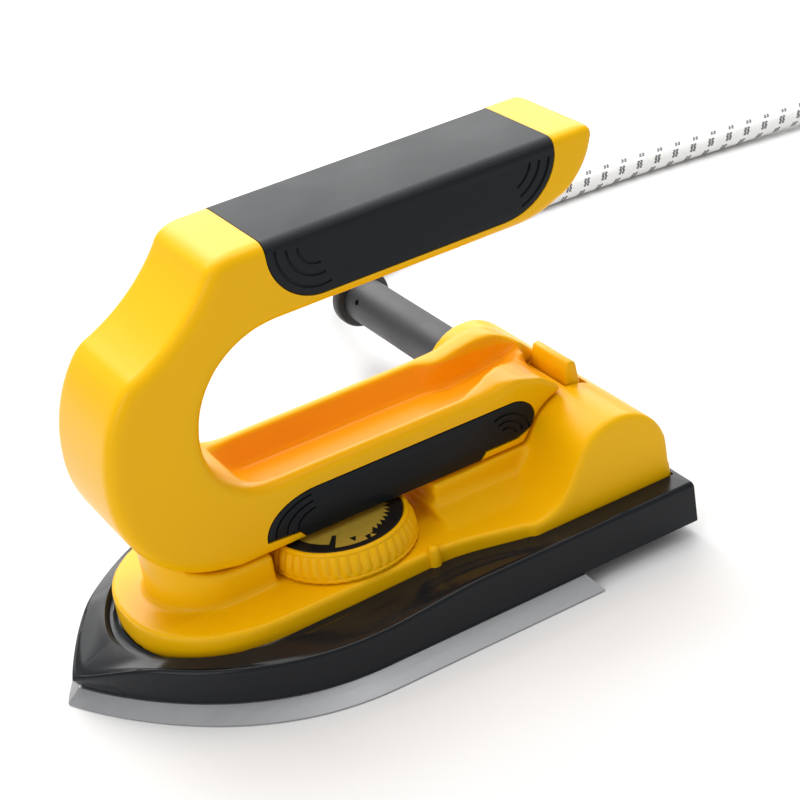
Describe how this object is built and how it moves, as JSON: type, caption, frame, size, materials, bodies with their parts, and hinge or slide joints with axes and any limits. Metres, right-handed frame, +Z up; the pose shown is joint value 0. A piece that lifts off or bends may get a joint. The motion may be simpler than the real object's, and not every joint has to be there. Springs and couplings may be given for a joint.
{
  "type": "clothes iron",
  "caption": "Compact corded clothes iron with a flared plate, black heat shield, C-shaped handle with a soft grip, heat dial, swivelling cord sleeve and braided lead.",
  "frame": {"origin": "on the plate's sole, below the middle of the iron's overall length and width, lead left out", "axes": "+Z up from the sole, -X towards the nose, -Y the user's left side, +Y the side the cord sleeve is on"},
  "size_m": [0.4604, 0.2189, 0.1076],
  "materials": {
    "yellow_plastic": "glossy moulded plastic",
    "black_phenolic": "high gloss heat resistant moulding",
    "black_rubber": "satin overmould",
    "black_panel": "satin moulding",
    "black_sleeve": "satin stiff rubber",
    "plate_alloy": "satin cast and coated",
    "white_braid": "woven white braid with grey flecks",
    "element_sheath": "dull sheath",
    "zinc_sheet": "plain",
    "brass": "plain",
    "nickel": "plated",
    "ceramic": "unglazed",
    "fuse_sleeve": "woven glass sleeve",
    "dial_card": "printed disc, black ring and gold centre",
    "wire_brown": "insulated wire",
    "wire_blue": "insulated wire",
    "wire_green": "insulated wire"
  },
  "bodies": {
    "iron": {"base_housing": "yellow_plastic", "bimetal_strip": "brass", "clamp_screw_front": "zinc_sheet", "clamp_screw_rear": "zinc_sheet", "contact_blade": "zinc_sheet", "control_bush": "brass", "cord": "white_braid", "cord_clamp": "black_panel", "cord_coil": "white_braid", "cord_tail": "white_braid", "cord_tie": "black_panel", "cover_screw_1": "zinc_sheet", "cover_screw_2": "zinc_sheet", "cover_screw_3": "zinc_sheet", "earth_tag": "zinc_sheet", "element_pin_left": "nickel", "element_pin_right": "nickel", "grip": "black_rubber", "handle_body": "yellow_plastic", "handle_cover": "yellow_plastic", "handle_screw_front": "zinc_sheet", "handle_screw_rear": "zinc_sheet", "heating_element": "element_sheath", "housing_screw_left": "zinc_sheet", "housing_screw_right": "zinc_sheet", "lead_control": "wire_brown", "lead_earth": "wire_green", "lead_heater": "wire_blue", "lead_in_sleeve": "white_braid", "lead_live": "wire_brown", "lead_neutral": "wire_blue", "lead_plate_earth": "wire_green", "plug_blade_left": "nickel", "plug_blade_right": "nickel", "plug_body": "black_panel", "plug_earth_pin": "nickel", "pressure_plate": "zinc_sheet", "rear_cover": "black_phenolic", "side_panel_left": "black_panel", "side_panel_right": "black_panel", "skirt": "black_phenolic", "skirt_screw_1": "zinc_sheet", "skirt_screw_2": "zinc_sheet", "skirt_screw_3": "zinc_sheet", "sleeve_bush": "black_sleeve", "soleplate": "plate_alloy", "tab_pin": "zinc_sheet", "terminal_block": "ceramic", "terminal_screw_1": "brass", "terminal_screw_2": "brass", "terminal_screw_3": "brass", "thermal_fuse": "fuse_sleeve", "thermostat_body": "ceramic", "thermostat_bracket": "zinc_sheet"},
    "dial": {"dial_knob": "yellow_plastic", "dial_disc": "dial_card", "control_spindle": "zinc_sheet"},
    "sleeve": {"cord_sleeve": "black_sleeve", "sleeve_collar": "black_sleeve"},
    "tab": {"release_tab": "yellow_plastic"}
  },
  "joints": [
    {"name": "dial_turn", "type": "hinge", "parent": "iron", "child": "dial", "pos_m": [-0.0042, -0.0113, 0.0196], "axis": [0, 0, 1], "range_deg": [0, 280]},
    {"name": "sleeve_swivel", "type": "hinge", "parent": "iron", "child": "sleeve", "pos_m": [0.0646, 0.0334, 0.0244], "axis": [0, 1, 0], "range_deg": [-90, 90]},
    {"name": "tab_tilt", "type": "hinge", "parent": "iron", "child": "tab", "pos_m": [0.0675, -0.006, 0.0316], "axis": [0, 1, 0], "range_deg": [0, 8], "stiffness_Nm_per_rad": 0.6, "springref_deg": -5.73}
  ]
}
